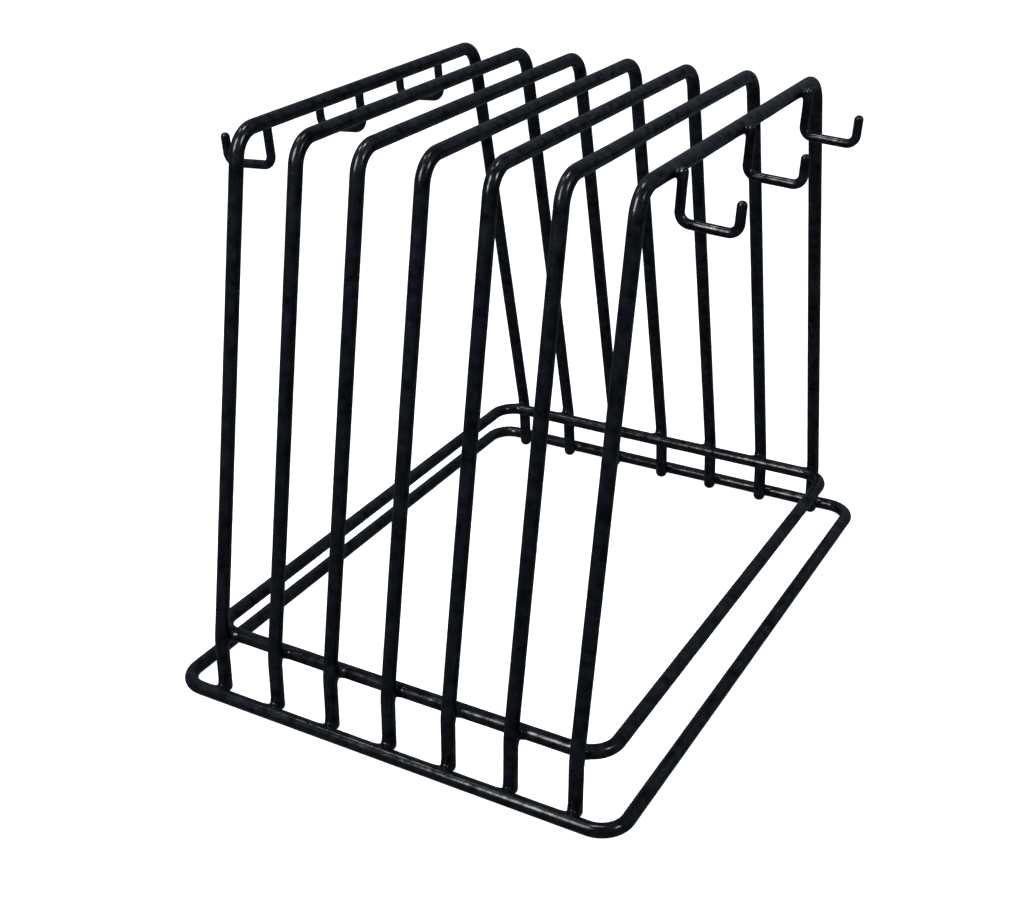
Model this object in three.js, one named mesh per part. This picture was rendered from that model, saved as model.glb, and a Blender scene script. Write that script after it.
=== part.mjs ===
// Welded wire rack with six upright slots and a row of small hooks on each end hoop.
//
// Millimetres, +Z up. The origin is on the floor, at the middle of the base.
// +X runs across the slots, and +Y runs along them, from the front to the back.
// Every length on a wire is measured to its centre line, and every diameter over its coating.

import * as THREE from 'three';
import { mergeVertices } from 'three/addons/utils/BufferGeometryUtils.js';

// Wires
const WIRE = 6.7;                 // hoops and rings
const HOOK_WIRE = 4.3;
const WELD_GAP = 0.4;             // left between two round wires where they are welded together

// Hoops: inverted U shapes, one on each side of every slot
const SLOT_COUNT = 6;
const HOOP_PITCH = 31.75;
const HOOP_TOP_Z = 262;
const HOOP_TOP_HALF = 99;         // middle of the top bar to its unrounded corner
const HOOP_BEND = 13;
const LEG_BEND = 30;              // the slight bend where a leg passes the shelf ring
const LEG_CLEARANCE = 0.4;        // leg ends stop just above the floor

// Rings: rounded rectangles that the hoops are welded to
const BASE_HALF_X = 117.6;
const BASE_HALF_Y = 157.4;
const SHELF_HALF_X = 105;
const SHELF_HALF_Y = 141.7;
const SHELF_Z = 29;
const RING_BEND = 13;

// Hooks: J shapes, hung on the outer side of the first and last top bars, tips a little down
const HOOK_SPACING = 72;
const HOOK_TOP_RISE = 2.4;        // hook's own origin up to its welded end
const HOOK_DROP = 20;             // hook's own origin down to its run
const HOOK_REACH = 25.2;          // welded leg to turned-up tip
const HOOK_TIP_RISE = 13.8;       // run up to the end of the tip
const HOOK_BEND = 4.6;
const HOOK_TILT = THREE.MathUtils.degToRad(3.7);
const LEFT_HOOK_SINK = 2.2;       // the left hooks are welded on this much lower

// Wire ends: a cut end is rounded over by its coating, fully on a hook and by half on a leg
const LEG_END_ROUNDING = 1.6;
const HOOK_END_ROUNDING = 1.7;

// Facets
const SECTION_SIDES = 12;
const BEND_STEP = THREE.MathUtils.degToRad(15);
const END_STEPS = 3;
const MERGE_TOLERANCE = 0.001;

// Derived dimensions
const WIRE_RADIUS = WIRE / 2;
const WELD_SPACING = WIRE + WELD_GAP;
const BASE_Z = WIRE_RADIUS;
const LEG_LEAN = Math.atan((SHELF_HALF_Y + WIRE - HOOP_TOP_HALF) / (HOOP_TOP_Z - SHELF_Z));
const LEG_Y_AT_SHELF = SHELF_HALF_Y + WELD_SPACING / Math.cos(LEG_LEAN);
const LEG_Y_AT_BASE = BASE_HALF_Y - WELD_SPACING;
const HOOK_X = SLOT_COUNT / 2 * HOOP_PITCH + WIRE_RADIUS + WELD_GAP + HOOK_WIRE / 2;

// A centre line of straight runs and round bends. It is sampled at its stations only, which are
// the steps round each bend and over each end, so a straight run stays in one piece.
class WirePath extends THREE.Curve {
  constructor(stations) {
    super();
    this.stations = stations;
    this.steps = stations.length - 1;
  }

  stationAt(t) {
    return this.stations[Math.round(t * this.steps)];
  }

  getPoint(t) {
    return this.stationAt(t).point.clone();
  }

  getTangent(t) {
    return this.stationAt(t).tangent.clone();
  }

  getPointAt(u) {
    return this.getPoint(u);
  }

  getTangentAt(u) {
    return this.getTangent(u);
  }
}

function direction(from, to) {
  return to.clone().sub(from).normalize();
}

function bendStations(before, corner, after, radius) {
  const arriving = direction(before, corner);
  const leaving = direction(corner, after);
  const turn = arriving.angleTo(leaving);
  const axis = arriving.clone().cross(leaving).normalize();
  const start = corner.clone().addScaledVector(arriving, -radius * Math.tan(turn / 2));
  const centre = start.clone().addScaledVector(axis.clone().cross(arriving), radius);
  const steps = Math.ceil(turn / BEND_STEP);
  return Array.from({ length: steps + 1 }, (_, k) => {
    const angle = turn * k / steps;
    return {
      point: start.clone().sub(centre).applyAxisAngle(axis, angle).add(centre),
      tangent: arriving.clone().applyAxisAngle(axis, angle),
    };
  });
}

// Stations from the start of a rounded end, outward to its tip.
function endStations(before, tip, rounding) {
  const outward = direction(before, tip);
  return Array.from({ length: END_STEPS + 1 }, (_, k) => {
    const fromTip = rounding * (1 - Math.sin(Math.PI / 2 * k / END_STEPS));
    return { point: tip.clone().addScaledVector(outward, -fromTip), tangent: outward };
  });
}

// corners are the unrounded corners, ends included, and radii holds one value for each bend.
function openPath(corners, radii, endRounding) {
  const bends = radii.map((radius, k) => (
    bendStations(corners[k], corners[k + 1], corners[k + 2], radius)
  ));
  const lastEnd = endStations(corners.at(-2), corners.at(-1), endRounding);
  const firstEnd = endStations(corners[1], corners[0], endRounding).reverse().map((station) => ({
    point: station.point,
    tangent: station.tangent.clone().negate(),
  }));
  return new WirePath([...firstEnd, ...bends.flat(), ...lastEnd]);
}

// A closed path starts and ends in the middle of the run from the last corner to the first.
function closedPath(corners, radius) {
  const count = corners.length;
  const bends = corners.map((corner, k) => (
    bendStations(corners[(k + count - 1) % count], corner, corners[(k + 1) % count], radius)
  ));
  const seam = {
    point: corners[0].clone().lerp(corners[count - 1], 0.5),
    tangent: direction(corners[count - 1], corners[0]),
  };
  return new WirePath([seam, ...bends.flat(), seam]);
}

// A polygon whose flats touch the round wire, with flats facing along both of the path's axes.
function wireSection(diameter) {
  const radius = diameter / 2 / Math.cos(Math.PI / SECTION_SIDES);
  const corners = Array.from({ length: SECTION_SIDES }, (_, k) => {
    const angle = (k + 0.5) * 2 * Math.PI / SECTION_SIDES;
    return new THREE.Vector2(radius * Math.cos(angle), radius * Math.sin(angle));
  });
  return new THREE.Shape(corners);
}

function sweepSection(path, diameter) {
  return new THREE.ExtrudeGeometry(wireSection(diameter), {
    steps: path.steps,
    extrudePath: path,
    bevelEnabled: false,
  });
}

// Draws a swept wire in towards its centre line over its last stretch, as a quarter round.
function roundEnd(geometry, tip, outward, diameter, rounding) {
  const radius = diameter / 2;
  const start = tip.clone().addScaledVector(outward, -rounding);
  const positions = geometry.getAttribute('position');
  const point = new THREE.Vector3();
  for (let k = 0; k < positions.count; k += 1) {
    point.fromBufferAttribute(positions, k);
    const along = point.clone().sub(start).dot(outward);
    if (along > 0 && point.distanceTo(start) < diameter) {
      const drop = rounding - Math.sqrt(Math.max(rounding ** 2 - along ** 2, 0));
      const onCentreLine = start.clone().addScaledVector(outward, along);
      point.lerp(onCentreLine, drop / radius);
      positions.setXYZ(k, point.x, point.y, point.z);
    }
  }
}

function sweepWire(path, diameter, endRounding) {
  const wire = sweepSection(path, diameter);
  const first = path.stations[0];
  const last = path.stations[path.steps];
  roundEnd(wire, first.point, first.tangent.clone().negate(), diameter, endRounding);
  roundEnd(wire, last.point, last.tangent, diameter, endRounding);
  wire.computeVertexNormals();
  return wire;
}

// A ring has no ends, so the end caps are left out and the first and last sections are merged.
function sweepRing(path, diameter) {
  const swept = sweepSection(path, diameter);
  const sides = swept.groups[1];
  const positions = swept.getAttribute('position').array;
  const sidePositions = positions.slice(3 * sides.start, 3 * (sides.start + sides.count));
  const open = new THREE.BufferGeometry();
  open.setAttribute('position', new THREE.BufferAttribute(sidePositions, 3));
  const ring = mergeVertices(open, MERGE_TOLERANCE);
  ring.computeVertexNormals();
  return ring;
}

function hoopGeometry() {
  const legSide = [
    [LEG_Y_AT_BASE, LEG_CLEARANCE],
    [LEG_Y_AT_SHELF, SHELF_Z],
    [HOOP_TOP_HALF, HOOP_TOP_Z],
  ];
  const front = legSide.map(([y, z]) => new THREE.Vector3(0, -y, z));
  const back = legSide.map(([y, z]) => new THREE.Vector3(0, y, z)).reverse();
  const radii = [LEG_BEND, HOOP_BEND, HOOP_BEND, LEG_BEND];
  return sweepWire(openPath([...front, ...back], radii, LEG_END_ROUNDING), WIRE, LEG_END_ROUNDING);
}

function ringGeometry(halfX, halfY) {
  const corners = [
    new THREE.Vector3(halfX, -halfY, 0),
    new THREE.Vector3(halfX, halfY, 0),
    new THREE.Vector3(-halfX, halfY, 0),
    new THREE.Vector3(-halfX, -halfY, 0),
  ];
  return sweepRing(closedPath(corners, RING_BEND), WIRE);
}

// The hook reaches towards +X. It is tilted about its own origin, beside the top bar.
function hookGeometry() {
  const corners = [
    new THREE.Vector3(0, 0, HOOK_TOP_RISE),
    new THREE.Vector3(0, 0, -HOOK_DROP),
    new THREE.Vector3(HOOK_REACH, 0, -HOOK_DROP),
    new THREE.Vector3(HOOK_REACH, 0, HOOK_TIP_RISE - HOOK_DROP),
  ];
  const path = openPath(corners, [HOOK_BEND, HOOK_BEND], HOOK_END_ROUNDING);
  return sweepWire(path, HOOK_WIRE, HOOK_END_ROUNDING).rotateY(HOOK_TILT);
}

const coating = new THREE.MeshStandardMaterial({ color: 0x0d0e10, roughness: 0.32, metalness: 0 });

function addPiece(parent, name, geometry) {
  const piece = new THREE.Mesh(geometry, coating);
  piece.name = name;
  parent.add(piece);
  return piece;
}

const rack = new THREE.Group();

addPiece(rack, 'base_ring', ringGeometry(BASE_HALF_X, BASE_HALF_Y)).position.z = BASE_Z;
addPiece(rack, 'shelf_ring', ringGeometry(SHELF_HALF_X, SHELF_HALF_Y)).position.z = SHELF_Z;

for (let k = 0; k <= SLOT_COUNT; k += 1) {
  const hoop = addPiece(rack, `hoop_${k + 1}`, hoopGeometry());
  hoop.position.x = (k - SLOT_COUNT / 2) * HOOP_PITCH;
}

const hookSides = [
  ['left', -HOOK_X, HOOP_TOP_Z - LEFT_HOOK_SINK, Math.PI],
  ['right', HOOK_X, HOOP_TOP_Z, 0],
];
for (const [side, x, z, turn] of hookSides) {
  for (const [place, y] of [['front', -HOOK_SPACING], ['middle', 0], ['back', HOOK_SPACING]]) {
    const hook = addPiece(rack, `hook_${side}_${place}`, hookGeometry());
    hook.position.set(x, y, z);
    hook.rotation.z = turn;
  }
}

export default rack;
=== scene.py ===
"""Looks of a welded wire plate rack in a dipped gloss black coating, built round its CAD frame.

Every wire is swept as one smooth coated rod that stands for its CAD node, and each weld gets
the web of coating that gathers round it. Everything is in metres.
"""

import math

import bpy
import numpy as np
from mathutils import Matrix, Vector


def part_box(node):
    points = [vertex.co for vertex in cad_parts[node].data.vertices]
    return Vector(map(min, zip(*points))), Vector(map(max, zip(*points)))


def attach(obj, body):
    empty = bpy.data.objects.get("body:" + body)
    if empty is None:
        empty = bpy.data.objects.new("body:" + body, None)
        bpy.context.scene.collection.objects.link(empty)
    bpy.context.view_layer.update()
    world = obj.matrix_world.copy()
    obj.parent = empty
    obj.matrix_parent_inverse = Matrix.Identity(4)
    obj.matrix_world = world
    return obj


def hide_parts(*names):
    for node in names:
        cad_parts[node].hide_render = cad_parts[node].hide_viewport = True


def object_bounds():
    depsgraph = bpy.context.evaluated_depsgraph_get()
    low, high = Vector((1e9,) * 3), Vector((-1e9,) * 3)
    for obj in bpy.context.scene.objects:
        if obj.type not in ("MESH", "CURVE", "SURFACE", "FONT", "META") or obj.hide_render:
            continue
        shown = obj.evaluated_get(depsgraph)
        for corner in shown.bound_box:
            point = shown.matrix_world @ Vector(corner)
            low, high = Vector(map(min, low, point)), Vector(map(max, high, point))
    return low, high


MM = 0.001
SEED = 20

# Bends, welds and hooks, as in the CAD model
WELD_GAP = 0.4 * MM
HOOP_BEND = 13 * MM
HOOP_TOP_HALF = 99 * MM
LEG_BEND = 30 * MM
RING_BEND = 13 * MM
HOOK_BEND = 4.6 * MM
HOOK_TOP_RISE = 2.4 * MM
HOOK_DROP = 20 * MM
HOOK_REACH = 25.2 * MM
HOOK_TIP_RISE = 13.8 * MM
HOOK_TILT = math.radians(3.7)
HOOK_SINK = {"left": 2.2 * MM, "right": 0.0}
HOOP_COUNT = 7
HOOK_SIDES = {"left": -1, "right": 1}
HOOK_PLACES = ("front", "middle", "back")

# Wire ends, rounded over by the coating
LEG_END_ROUNDING = 3.0 * MM
HOOK_END_ROUNDING = 2.0 * MM

# Facets
WIRE_SIDES = 32
RUN_STEP = 2.5 * MM
BEND_STEP = math.radians(5)
DOME_STEPS = 7
TIP_STEPS = 3

# The coating is a little uneven. It is thinned from its full thickness only, so that no wire
# grows. Each wave is (length along the wire, waves round the wire, share of the depth).
COATING_WAVE_DEPTH = 0.07 * MM
COATING_WAVES = (
    (41 * MM, 1, 0.30),
    (27 * MM, -1, 0.25),
    (19 * MM, 2, 0.20),
    (12.5 * MM, 0, 0.15),
    (8.7 * MM, 1, 0.10),
)

# Webs of coating round the welds. Each fills a ball round its weld, out to where it meets the
# wires, and is cut flat just above the floor.
WEB_CELL = 0.42 * MM
WEB_REACH = 6.9 * MM
WEB_EDGE_BLEND = 3.0 * MM
WEB_PROUD = 0.02 * MM
RING_WEB_BLEND = 5.2 * MM
HOOK_WEB_BLEND = 3.6 * MM
WEB_BLEND_SPREAD = 0.18
WEB_FLOOR = 0.05 * MM
NEAREST_STEPS = 25
SETTLE_STEPS = 4
SETTLE_REACH = 0.02 * MM
LEAST_STEEPNESS = 0.25
HOOK_WELD_POINTS = 12

# Coating material. Each noise is (waves in a metre, detail), and varies what stands above it
# from the first value to the second.
TONES = (0.0010, 0.0018, 0.0028, 1), (0.0060, 0.0080, 0.0115, 1)
TONE_NOISE = 90, 2
ROUGHNESS = 0.17, 0.25
ROUGHNESS_NOISE = 55, 3
GLOSS = 0.08, 0.80
GLOSS_NOISE = 230, 2
NOISE_MIDDLE = 0.3, 0.7
LUMP_DEPTH = 0.2 * MM
LUMP_NOISE = 160, 1
PEEL_DEPTH = 0.02 * MM
PEEL_NOISE = 900, 1
COATING_IOR = 1.5

# Floor and walls. They glow white by themselves.
STAGE_SIZE = 8
STAGE_Z = -0.02 * MM
STAGE_COLOUR = (0.9, 0.9, 0.9, 1)
STAGE_ROUGHNESS = 0.9
STAGE_GLOW = 1.0

# Lights: direction from the rack's middle, distance, width, height, radiance and the way that
# the height points
LIGHTS = {
    "front_softbox": ((-0.22, -0.73, 0.64), 1.1, 0.24, 0.62, 14, (0, 0, 1)),
    "left_lamp": ((-0.50, -0.10, 0.84), 1.2, 0.15, 0.15, 12, (0, 0, 1)),
    "top_lamp": ((-0.06, 0.0, 1.0), 1.2, 0.17, 0.17, 24, (0, 1, 0)),
    "right_lamp": ((0.78, -0.14, 0.60), 1.2, 0.17, 0.17, 24, (0, 0, 1)),
}

# Room light: its colour, and its strength from the low height to the high one
ROOM_COLOUR = (0.84, 0.98, 1.16, 1)
ROOM_HEIGHTS = -0.1, 0.5
ROOM_STRENGTHS = 0.09, 0.17

# Camera
CAMERA_AZIMUTH = math.radians(30.014)
CAMERA_ELEVATION = math.radians(27.331)
CAMERA_ROLL = math.radians(-1.157)
CAMERA_DISTANCE = 0.7092
CAMERA_TARGET = Vector((0, -0.0332, 0.0955))
CAMERA_LENS = 50.99
CAMERA_SENSOR = 36
CAMERA_CLIP = 0.01, 100

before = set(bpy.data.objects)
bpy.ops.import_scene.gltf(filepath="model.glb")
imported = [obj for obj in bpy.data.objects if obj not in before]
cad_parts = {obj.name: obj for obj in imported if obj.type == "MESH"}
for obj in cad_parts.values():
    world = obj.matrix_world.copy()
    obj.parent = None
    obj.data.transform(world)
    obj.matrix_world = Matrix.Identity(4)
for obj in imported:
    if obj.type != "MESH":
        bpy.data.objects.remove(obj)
cad_low, cad_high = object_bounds()
rng = np.random.default_rng(SEED)


# ---- Sizes read from the CAD frame


def corners_of(node):
    low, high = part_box(node)
    return np.array(low, float), np.array(high, float)


def hook_name(side, place):
    return f"hook_{side}_{place}"


base_low, base_high = corners_of("base_ring")
shelf_low, shelf_high = corners_of("shelf_ring")
hoop_low, hoop_high = corners_of("hoop_1")
WIRE_RADIUS = (base_high[2] - base_low[2]) / 2
WELD_SPACING = 2 * WIRE_RADIUS + WELD_GAP
BASE_HALF_X, BASE_HALF_Y = base_high[:2] - WIRE_RADIUS
SHELF_HALF_X, SHELF_HALF_Y = shelf_high[:2] - WIRE_RADIUS
BASE_Z = (base_low[2] + base_high[2]) / 2
SHELF_Z = (shelf_low[2] + shelf_high[2]) / 2
HOOP_TOP_Z = hoop_high[2] - WIRE_RADIUS
LEG_END_Z = hoop_low[2]
LEG_LEAN = math.atan(
    (SHELF_HALF_Y + 2 * WIRE_RADIUS - HOOP_TOP_HALF) / (HOOP_TOP_Z - SHELF_Z)
)
LEG_Y_AT_SHELF = SHELF_HALF_Y + WELD_SPACING / math.cos(LEG_LEAN)
LEG_Y_AT_BASE = BASE_HALF_Y - WELD_SPACING
hook_low, hook_high = corners_of(hook_name("right", "front"))
HOOK_RADIUS = (hook_high[1] - hook_low[1]) / 2
HOOK_X = corners_of(f"hoop_{HOOP_COUNT}")[1][0] + WELD_GAP + HOOK_RADIUS


# ---- Centre lines


def unit(vector):
    return vector / np.linalg.norm(vector)


def run_points(start, end):
    """Points along a straight run, without its last one."""
    count = max(1, math.ceil(np.linalg.norm(end - start) / RUN_STEP))
    return [start + (end - start) * k / count for k in range(count)]


def bend_points(before, corner, after, radius):
    arriving, leaving = unit(corner - before), unit(after - corner)
    turn = math.acos(np.clip(arriving @ leaving, -1, 1))
    start = corner - arriving * radius * math.tan(turn / 2)
    inward = unit(leaving - arriving * (arriving @ leaving))
    steps = math.ceil(turn / BEND_STEP)
    return [
        start
        + radius * math.sin(turn * k / steps) * arriving
        + radius * (1 - math.cos(turn * k / steps)) * inward
        for k in range(steps + 1)
    ]


def open_line(corners, radii):
    corners = np.array(corners, float)
    stops = [[corners[0]]]
    for k, radius in enumerate(radii):
        stops.append(bend_points(*corners[k : k + 3], radius))
    stops.append([corners[-1]])
    line = []
    for here, there in zip(stops, stops[1:]):
        line += here[:-1] + run_points(here[-1], there[0])
    return np.array(line + [corners[-1]])


def closed_line(corners, radius):
    corners = np.array(corners, float)
    count = len(corners)
    bends = [
        bend_points(corners[k - 1], corners[k], corners[(k + 1) % count], radius)
        for k in range(count)
    ]
    line = []
    for here, there in zip(bends, bends[1:] + bends[:1]):
        line += here[:-1] + run_points(here[-1], there[0])
    return np.array(line)


def ring_line(half_x, half_y, z):
    corners = [
        (half_x, -half_y, z),
        (half_x, half_y, z),
        (-half_x, half_y, z),
        (-half_x, -half_y, z),
    ]
    return closed_line(corners, RING_BEND)


def hoop_line(x):
    leg = [
        (LEG_Y_AT_BASE, LEG_END_Z),
        (LEG_Y_AT_SHELF, SHELF_Z),
        (HOOP_TOP_HALF, HOOP_TOP_Z),
    ]
    front = [(x, -y, z) for y, z in leg]
    back = [(x, y, z) for y, z in reversed(leg)]
    return open_line(front + back, (LEG_BEND, HOOP_BEND, HOOP_BEND, LEG_BEND))


def hook_line(side, place):
    low, high = corners_of(hook_name(side, place))
    sign = HOOK_SIDES[side]
    y = (low[1] + high[1]) / 2
    z = HOOP_TOP_Z - HOOK_SINK[side]
    shape = [
        (0, HOOK_TOP_RISE),
        (0, -HOOK_DROP),
        (HOOK_REACH, -HOOK_DROP),
        (HOOK_REACH, HOOK_TIP_RISE - HOOK_DROP),
    ]
    cosine, sine = math.cos(HOOK_TILT), math.sin(HOOK_TILT)
    corners = [
        (sign * (HOOK_X + out * cosine + up * sine), y, z - out * sine + up * cosine)
        for out, up in shape
    ]
    return open_line(corners, (HOOK_BEND, HOOK_BEND))


# ---- Coated wires


def coating_wave(arc, length, closed):
    """How far the coating falls short of its full thickness, at each station and side."""
    angle = np.arange(WIRE_SIDES) * 2 * math.pi / WIRE_SIDES
    depth = np.zeros((len(arc), WIRE_SIDES))
    for wavelength, turns, share in COATING_WAVES:
        if closed:
            wavelength = length / round(length / wavelength)
        phase = rng.uniform(0, 2 * math.pi)
        waves = 2 * math.pi * arc[:, None] / wavelength + turns * angle[None, :]
        depth += share * np.cos(waves + phase)
    return COATING_WAVE_DEPTH * (1 + depth) / 2


def wire_rings(line, radius, closed, across):
    """Sections of the coated wire, as an array of (station, side, xyz). across is the unit
    vector square to the plane that the wire is bent in."""
    if closed:
        tangents = np.roll(line, -1, axis=0) - np.roll(line, 1, axis=0)
    else:
        tangents = np.gradient(line, axis=0)
    tangents /= np.linalg.norm(tangents, axis=1, keepdims=True)
    steps = np.linalg.norm(np.diff(line, axis=0), axis=1)
    arc = np.concatenate([[0], np.cumsum(steps)])
    length = arc[-1] + (np.linalg.norm(line[0] - line[-1]) if closed else 0)
    inward = np.cross(across, tangents)
    angle = np.arange(WIRE_SIDES) * 2 * math.pi / WIRE_SIDES
    round_it = (
        np.cos(angle)[None, :, None] * inward[:, None, :]
        + np.sin(angle)[None, :, None] * np.array(across, float)
    )
    depth = radius - coating_wave(arc, length, closed)
    return line[:, None, :] + depth[:, :, None] * round_it


def dome_rings(section, centre, outward, rounding):
    """Sections that round a wire's end over, from its last full section out to its tip."""
    radius = np.linalg.norm(section - centre, axis=1).mean()
    rings = []
    for k in range(1, DOME_STEPS + 1):
        angle = math.pi / 2 * k / DOME_STEPS
        share = (radius - rounding * (1 - math.cos(angle))) / radius
        along = outward * rounding * math.sin(angle)
        rings.append(centre + (section - centre) * share + along)
    return rings


def tube_faces(ring_count, closed):
    faces = []
    for i in range(ring_count if closed else ring_count - 1):
        here, there = i * WIRE_SIDES, (i + 1) % ring_count * WIRE_SIDES
        for j in range(WIRE_SIDES):
            k = (j + 1) % WIRE_SIDES
            faces.append((here + j, here + k, there + k, there + j))
    return faces


def trimmed(line, rounding):
    """The same open line, short of both tips by the rounding."""
    kept = np.full(len(line), True)
    ends = []
    for tip, before in ((line[0], line[1]), (line[-1], line[-2])):
        inward = unit(before - tip)
        ends.append(tip + inward * rounding)
        far = np.linalg.norm(line - tip, axis=1) >= TIP_STEPS * RUN_STEP
        kept &= far | ((line - tip) @ inward > rounding + RUN_STEP / 2)
    return np.vstack([ends[0], line[kept], ends[1]])


def wire_mesh(name, line, radius, across, rounding=None):
    closed = rounding is None
    if closed:
        rings = list(wire_rings(line, radius, True, across))
        return make_mesh(name, np.vstack(rings), tube_faces(len(rings), True))
    tips = line[0], line[-1]
    short = trimmed(line, rounding)
    rings = list(wire_rings(short, radius, False, across))
    first_out, last_out = unit(tips[0] - short[0]), unit(tips[1] - short[-1])
    first = dome_rings(rings[0], short[0], first_out, rounding)
    last = dome_rings(rings[-1], short[-1], last_out, rounding)
    rings = first[::-1] + rings + last
    points = np.vstack(rings + [tips[0][None], tips[1][None]])
    faces = tube_faces(len(rings), False)
    first_tip, last_tip = len(points) - 2, len(points) - 1
    last_ring = (len(rings) - 1) * WIRE_SIDES
    for j in range(WIRE_SIDES):
        k = (j + 1) % WIRE_SIDES
        faces.append((first_tip, k, j))
        faces.append((last_tip, last_ring + j, last_ring + k))
    return make_mesh(name, points, faces)


def make_mesh(name, points, faces):
    mesh = bpy.data.meshes.new(name)
    mesh.from_pydata(np.asarray(points).tolist(), [], [list(map(int, f)) for f in faces])
    mesh.polygons.foreach_set("use_smooth", [True] * len(mesh.polygons))
    mesh.update()
    return mesh


def add_piece(name, mesh, *nodes):
    piece = bpy.data.objects.new(name, mesh)
    bpy.context.scene.collection.objects.link(piece)
    mesh.materials.append(coating)
    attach(piece, "root")
    if nodes:
        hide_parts(*nodes)
    return piece


# ---- Webs of coating round the welds


def smooth_min(a, b, blend):
    overlap = np.maximum(blend - np.abs(a - b), 0) / blend
    return np.minimum(a, b) - overlap**3 * blend / 6


def smooth_max(a, b, blend):
    return -smooth_min(-a, -b, blend)


def tube_distance(points, line, radius):
    """Distance from points to a wire whose centre line is given, with domed ends."""
    nearest = np.full(len(points), np.inf)
    for start, end in zip(line, line[1:]):
        run = end - start
        share = np.clip((points - start) @ run / (run @ run), 0, 1)
        away = np.linalg.norm(points - start - share[:, None] * run, axis=1)
        np.minimum(nearest, away, out=nearest)
    return nearest - radius


def near_part(line, centre, reach):
    """The stretch of a centre line that passes within reach of centre."""
    close = np.flatnonzero(np.linalg.norm(line - centre, axis=1) < reach)
    return line[max(close[0] - 1, 0) : close[-1] + 2]


def nearest_points(line_a, line_b):
    """The pair of points, one on each polyline, that are closest, to a fine step."""

    def fine(line):
        share = np.linspace(0, 1, NEAREST_STEPS)[None, :, None]
        return (line[:-1, None] * (1 - share) + line[1:, None] * share).reshape(-1, 3)

    a, b = fine(line_a), fine(line_b)
    apart = np.linalg.norm(a[:, None] - b[None], axis=2)
    i, j = np.unravel_index(apart.argmin(), apart.shape)
    return a[i], b[j]


def surface_net(distance, centre, half, cell):
    """Points and faces of a closed mesh on distance's zero surface, in a cube round centre."""
    count = math.ceil(2 * half / cell) + 1
    ticks = (np.arange(count) - (count - 1) / 2) * cell
    grid = np.stack(np.meshgrid(ticks, ticks, ticks, indexing="ij"), axis=-1) + centre
    value = distance(grid.reshape(-1, 3)).reshape(count, count, count)
    inside = value < 0
    total = np.zeros((count - 1, count - 1, count - 1, 3))
    hits = np.zeros((count - 1, count - 1, count - 1))
    crossings = []
    for k in range(3):
        low = tuple(slice(0, -1) if n == k else slice(None) for n in range(3))
        high = tuple(slice(1, None) if n == k else slice(None) for n in range(3))
        crossed = inside[low] != inside[high]
        step = value[low] - value[high]
        share = np.where(crossed, value[low] / np.where(step == 0, 1, step), 0)
        place = grid[low] + share[..., None] * cell * np.eye(3)[k]
        crossings.append((crossed, inside[low]))
        others = [n for n in range(3) if n != k]
        for shift in ((0, 0), (0, 1), (1, 0), (1, 1)):
            part = [slice(None)] * 3
            for n, s in zip(others, shift):
                part[n] = slice(s, count - 1 + s)
            part = tuple(part)
            total += place[part] * crossed[part][..., None]
            hits += crossed[part]
    active = hits > 0
    index = np.full(active.shape, -1)
    index[active] = np.arange(active.sum())
    points = total[active] / hits[active][:, None]
    faces = []
    for k, (crossed, low_inside) in enumerate(crossings):
        second, third = (k + 1) % 3, (k + 2) % 3
        at = np.argwhere(crossed)
        flipped = ~low_inside[tuple(at.T)]
        corners = []
        for back_second, back_third in ((1, 1), (0, 1), (0, 0), (1, 0)):
            cell_at = at.copy()
            cell_at[:, second] -= back_second
            cell_at[:, third] -= back_third
            corners.append(index[tuple(cell_at.T)])
        quads = np.stack(corners, axis=1)
        quads[flipped] = quads[flipped][:, ::-1]
        faces.append(quads)
    return points, np.vstack(faces)


def settled(points, distance):
    """Points moved onto distance's zero surface."""
    for _ in range(SETTLE_STEPS):
        rises = [
            distance(points + SETTLE_REACH * axis) - distance(points - SETTLE_REACH * axis)
            for axis in np.eye(3)
        ]
        slope = np.stack(rises, axis=1) / (2 * SETTLE_REACH)
        steepness = np.maximum((slope**2).sum(axis=1), LEAST_STEEPNESS)
        points = points - (distance(points) / steepness)[:, None] * slope
    return points


def weld_web(line_a, radius_a, line_b, radius_b, blend):
    """The web of coating round one weld: both wires' surfaces run into each other."""
    on_a, on_b = nearest_points(line_a, line_b)
    across = unit(on_b - on_a)
    centre = (on_a + radius_a * across + on_b - radius_b * across) / 2
    part_a = near_part(line_a, centre, 4 * WEB_REACH)
    part_b = near_part(line_b, centre, 4 * WEB_REACH)
    blend = blend * (1 + rng.uniform(-WEB_BLEND_SPREAD, WEB_BLEND_SPREAD))

    def distance(points):
        a = tube_distance(points, part_a, radius_a)
        b = tube_distance(points, part_b, radius_b)
        body = smooth_min(a, b, blend) - WEB_PROUD
        ball = np.linalg.norm(points - centre, axis=1) - WEB_REACH
        web = smooth_max(body, ball, WEB_EDGE_BLEND)
        return np.maximum(web, WEB_FLOOR - points[:, 2])

    points, faces = surface_net(distance, centre, WEB_REACH + 2 * WEB_CELL, WEB_CELL)
    return settled(points, distance), faces


def web_mesh(name, webs):
    points, faces, start = [], [], 0
    for web_points, web_faces in webs:
        points.append(web_points)
        faces.append(web_faces + start)
        start += len(web_points)
    return make_mesh(name, np.vstack(points), np.vstack(faces))


# ---- Coating material


def node(tree, kind, **inputs):
    made = tree.nodes.new(kind)
    for name, value in inputs.items():
        made.inputs[name.replace("_", " ")].default_value = value
    return made


def noise(tree, coordinates, scale, detail):
    made = node(tree, "ShaderNodeTexNoise", Scale=scale, Detail=detail)
    tree.links.new(coordinates, made.inputs["Vector"])
    return made.outputs["Fac"]


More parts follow.
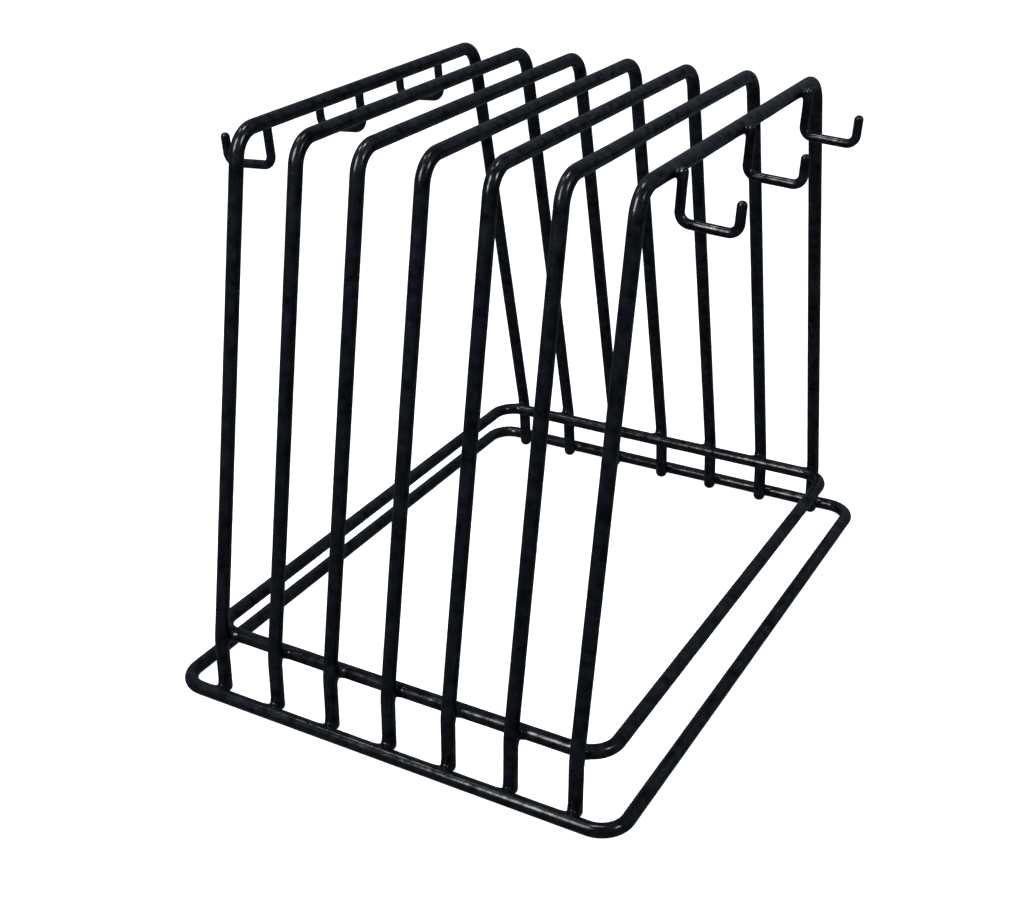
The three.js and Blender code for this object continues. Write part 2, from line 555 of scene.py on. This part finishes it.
def map_range(tree, value, source, target):
    """value, spread from the source pair to the target pair."""
    made = node(
        tree,
        "ShaderNodeMapRange",
        From_Min=source[0],
        From_Max=source[1],
        To_Min=target[0],
        To_Max=target[1],
    )
    tree.links.new(value, made.inputs["Value"])
    return made.outputs["Result"]


def bump(tree, height, distance, normal=None):
    made = node(tree, "ShaderNodeBump", Strength=1.0, Distance=distance)
    tree.links.new(height, made.inputs["Height"])
    if normal is not None:
        tree.links.new(normal, made.inputs["Normal"])
    return made.outputs["Normal"]


def coating_material():
    """Black dipped coating: glossy, softly lumpy, with a fine orange peel and duller patches."""
    material = bpy.data.materials.new("black_coating")
    material.use_nodes = True
    tree = material.node_tree
    shader = tree.nodes["Principled BSDF"]
    place = tree.nodes.new("ShaderNodeTexCoord").outputs["Object"]

    tone = tree.nodes.new("ShaderNodeMix")
    tone.data_type = "RGBA"
    tone.inputs["A"].default_value, tone.inputs["B"].default_value = TONES
    shade = map_range(tree, noise(tree, place, *TONE_NOISE), NOISE_MIDDLE, (0, 1))
    tree.links.new(shade, tone.inputs["Factor"])
    tree.links.new(tone.outputs["Result"], shader.inputs["Base Color"])

    dull = map_range(tree, noise(tree, place, *ROUGHNESS_NOISE), NOISE_MIDDLE, ROUGHNESS)
    tree.links.new(dull, shader.inputs["Roughness"])
    patches = map_range(tree, noise(tree, place, *GLOSS_NOISE), NOISE_MIDDLE, GLOSS)
    tree.links.new(patches, shader.inputs["Specular IOR Level"])
    shader.inputs["IOR"].default_value = COATING_IOR

    lumps = bump(tree, noise(tree, place, *LUMP_NOISE), LUMP_DEPTH)
    peel = bump(tree, noise(tree, place, *PEEL_NOISE), PEEL_DEPTH, lumps)
    tree.links.new(peel, shader.inputs["Normal"])
    return material


coating = coating_material()


# ---- Pieces

ring_lines = {
    "base_ring": ring_line(BASE_HALF_X, BASE_HALF_Y, BASE_Z),
    "shelf_ring": ring_line(SHELF_HALF_X, SHELF_HALF_Y, SHELF_Z),
}
for ring, line in ring_lines.items():
    mesh = wire_mesh(f"{ring}_coated", line, WIRE_RADIUS, (0, 0, 1))
    add_piece(f"{ring}_coated", mesh, ring)

hoop_lines = []
for k in range(1, HOOP_COUNT + 1):
    low, high = corners_of(f"hoop_{k}")
    line = hoop_line((low[0] + high[0]) / 2)
    hoop_lines.append(line)
    mesh = wire_mesh(f"hoop_{k}_coated", line, WIRE_RADIUS, (1, 0, 0), LEG_END_ROUNDING)
    add_piece(f"hoop_{k}_coated", mesh, f"hoop_{k}")

hook_lines = {}
for side in HOOK_SIDES:
    for place in HOOK_PLACES:
        name = hook_name(side, place)
        line = hook_line(side, place)
        hook_lines[side, place] = line
        mesh = wire_mesh(f"{name}_coated", line, HOOK_RADIUS, (0, 1, 0), HOOK_END_ROUNDING)
        add_piece(f"{name}_coated", mesh, name)

for ring, ring_path in ring_lines.items():
    for end, sign in (("front", -1), ("back", 1)):
        half_ring = ring_path[sign * ring_path[:, 1] > 0]
        webs = []
        for hoop in hoop_lines:
            line = trimmed(hoop, WIRE_RADIUS)
            leg = line[(sign * line[:, 1] > 0) & (line[:, 2] < 2 * SHELF_Z)]
            rail = half_ring[np.argsort(half_ring[:, 0])]
            rail = rail[np.abs(rail[:, 0] - leg[0, 0]) < 4 * WIRE_RADIUS]
            webs.append(weld_web(rail, WIRE_RADIUS, leg, WIRE_RADIUS, RING_WEB_BLEND))
        part = ring.replace("_ring", "")
        add_piece(f"{part}_{end}_weld_webs", web_mesh(f"{part}_{end}_weld_webs", webs))

for side, sign in HOOK_SIDES.items():
    bar = hoop_lines[0 if sign < 0 else -1]
    bar = bar[bar[:, 2] > HOOP_TOP_Z - WIRE_RADIUS]
    webs = []
    for place in HOOK_PLACES:
        welded = trimmed(hook_lines[side, place], HOOK_RADIUS)[:HOOK_WELD_POINTS]
        webs.append(weld_web(bar, WIRE_RADIUS, welded, HOOK_RADIUS, HOOK_WEB_BLEND))
    add_piece(f"hook_{side}_weld_webs", web_mesh(f"hook_{side}_weld_webs", webs))


# ---- Floor, lights and camera


def add_stage(name):
    """A floor with four walls far off, white whichever way the camera looks."""
    size = STAGE_SIZE
    square = [(-size, -size), (size, -size), (size, size), (-size, size)]
    points = [(x, y, z) for z in (STAGE_Z, size) for x, y in square]
    walls = [(k, k + 4, (k + 1) % 4 + 4, (k + 1) % 4) for k in range(4)]
    mesh = make_mesh(name, points, [(0, 1, 2, 3)] + walls)
    floor = bpy.data.objects.new(name, mesh)
    bpy.context.scene.collection.objects.link(floor)
    material = bpy.data.materials.new(name)
    material.use_nodes = True
    shader = material.node_tree.nodes["Principled BSDF"]
    shader.inputs["Base Color"].default_value = STAGE_COLOUR
    shader.inputs["Roughness"].default_value = STAGE_ROUGHNESS
    shader.inputs["Specular IOR Level"].default_value = 0
    shader.inputs["Emission Color"].default_value = (1, 1, 1, 1)
    shader.inputs["Emission Strength"].default_value = STAGE_GLOW
    mesh.materials.append(material)
    floor.visible_glossy = False
    floor.visible_diffuse = False
    floor.visible_shadow = False


def add_softbox(name, direction, distance, width, height, radiance, upright):
    """A softbox that faces the rack's middle, with its height along upright. Its power is
    its radiance times pi times its area."""
    light = bpy.data.lights.new(name, "AREA")
    light.shape = "RECTANGLE"
    light.size = width
    light.size_y = height
    light.energy = radiance * math.pi * width * height
    lamp = bpy.data.objects.new(name, light)
    bpy.context.scene.collection.objects.link(lamp)
    back = unit(np.array(direction, float))
    right = unit(np.cross(upright, back))
    up = np.cross(back, right)
    turn = Matrix((right, up, back)).transposed().to_4x4()
    middle = (cad_low + cad_high) / 2
    lamp.matrix_world = Matrix.Translation(middle + Vector(back) * distance) @ turn


def add_camera():
    azimuth, elevation = CAMERA_AZIMUTH, CAMERA_ELEVATION
    back = Vector(
        (
            math.sin(azimuth) * math.cos(elevation),
            -math.cos(azimuth) * math.cos(elevation),
            math.sin(elevation),
        )
    )
    level_right = Vector((0, 0, 1)).cross(back).normalized()
    level_up = back.cross(level_right)
    right = math.cos(CAMERA_ROLL) * level_right + math.sin(CAMERA_ROLL) * level_up
    up = back.cross(right)
    turn = Matrix((right, up, back)).transposed().to_4x4()
    data = bpy.data.cameras.new("camera")
    data.lens = CAMERA_LENS
    data.sensor_width = CAMERA_SENSOR
    data.clip_start, data.clip_end = CAMERA_CLIP
    camera = bpy.data.objects.new("camera", data)
    bpy.context.scene.collection.objects.link(camera)
    camera.matrix_world = Matrix.Translation(CAMERA_TARGET + back * CAMERA_DISTANCE) @ turn
    bpy.context.scene.camera = camera


def light_room():
    """A cool world light that brightens with height."""
    world = bpy.data.worlds.new("studio")
    bpy.context.scene.world = world
    world.use_nodes = True
    tree = world.node_tree
    direction = tree.nodes.new("ShaderNodeTexCoord").outputs["Generated"]
    parts = tree.nodes.new("ShaderNodeSeparateXYZ")
    tree.links.new(direction, parts.inputs[0])
    strength = map_range(tree, parts.outputs["Z"], ROOM_HEIGHTS, ROOM_STRENGTHS)
    background = tree.nodes["Background"]
    tree.links.new(strength, background.inputs["Strength"])
    background.inputs["Color"].default_value = ROOM_COLOUR


add_stage("floor")
for light_name, settings in LIGHTS.items():
    add_softbox(light_name, *settings)
add_camera()
light_room()
bpy.context.scene.view_settings.view_transform = "Standard"
